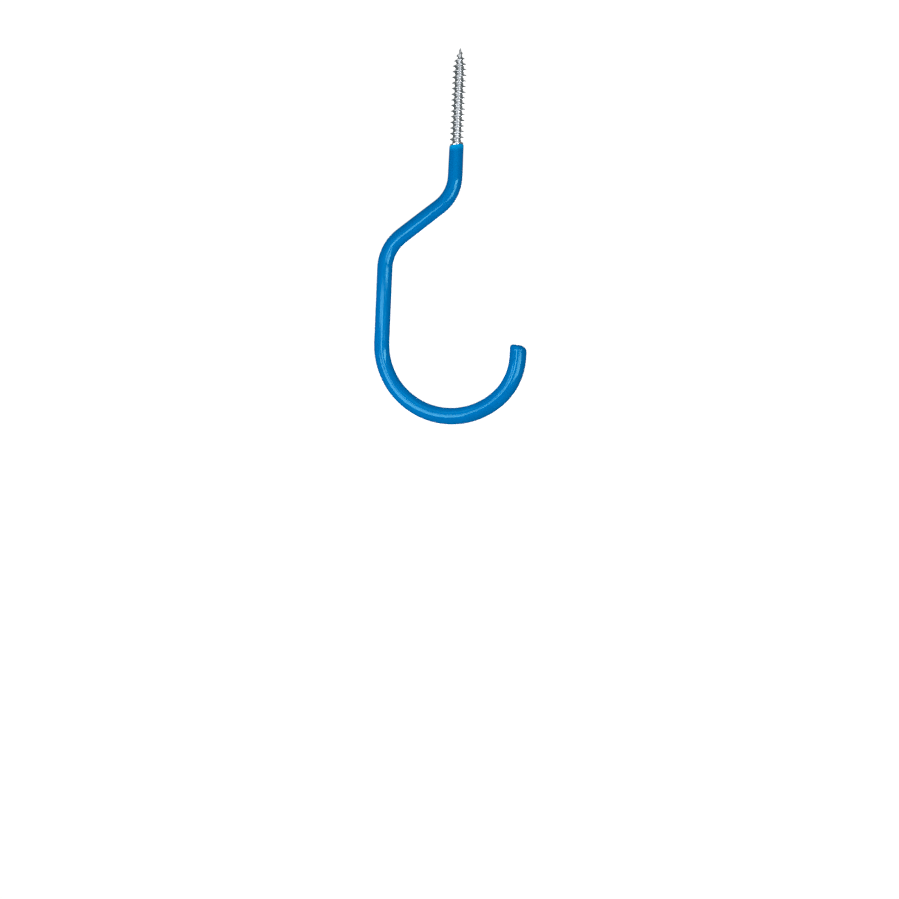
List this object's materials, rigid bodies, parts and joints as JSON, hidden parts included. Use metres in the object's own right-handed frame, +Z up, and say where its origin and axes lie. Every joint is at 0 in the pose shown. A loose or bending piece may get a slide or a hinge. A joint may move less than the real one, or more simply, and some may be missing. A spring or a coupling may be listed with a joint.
{
  "type": "screw-in bicycle storage hook",
  "caption": "Vinyl-coated steel screw hook: threaded shank, sideways step, straight leg and a round bowl that holds a bicycle wheel by its rim.",
  "frame": {"origin": "on the screw's axis, level with the underside of the beam it is driven into", "axes": "+Z up the screw into the beam; all bends lie in the XZ plane, with the leg at -X and the tip at +X; +Y across the bowl, along the rolling direction of the wheel it holds"},
  "size_m": [0.0782, 0.0086, 0.1886],
  "materials": {
    "zinc_steel": "bright zinc plate over rolled thread",
    "blue_vinyl": "smooth semi-gloss dip coating, soft to the touch"
  },
  "bodies": {
    "root": {"steel_hook_rod": "zinc_steel", "vinyl_coating": "blue_vinyl"}
  },
  "joints": []
}
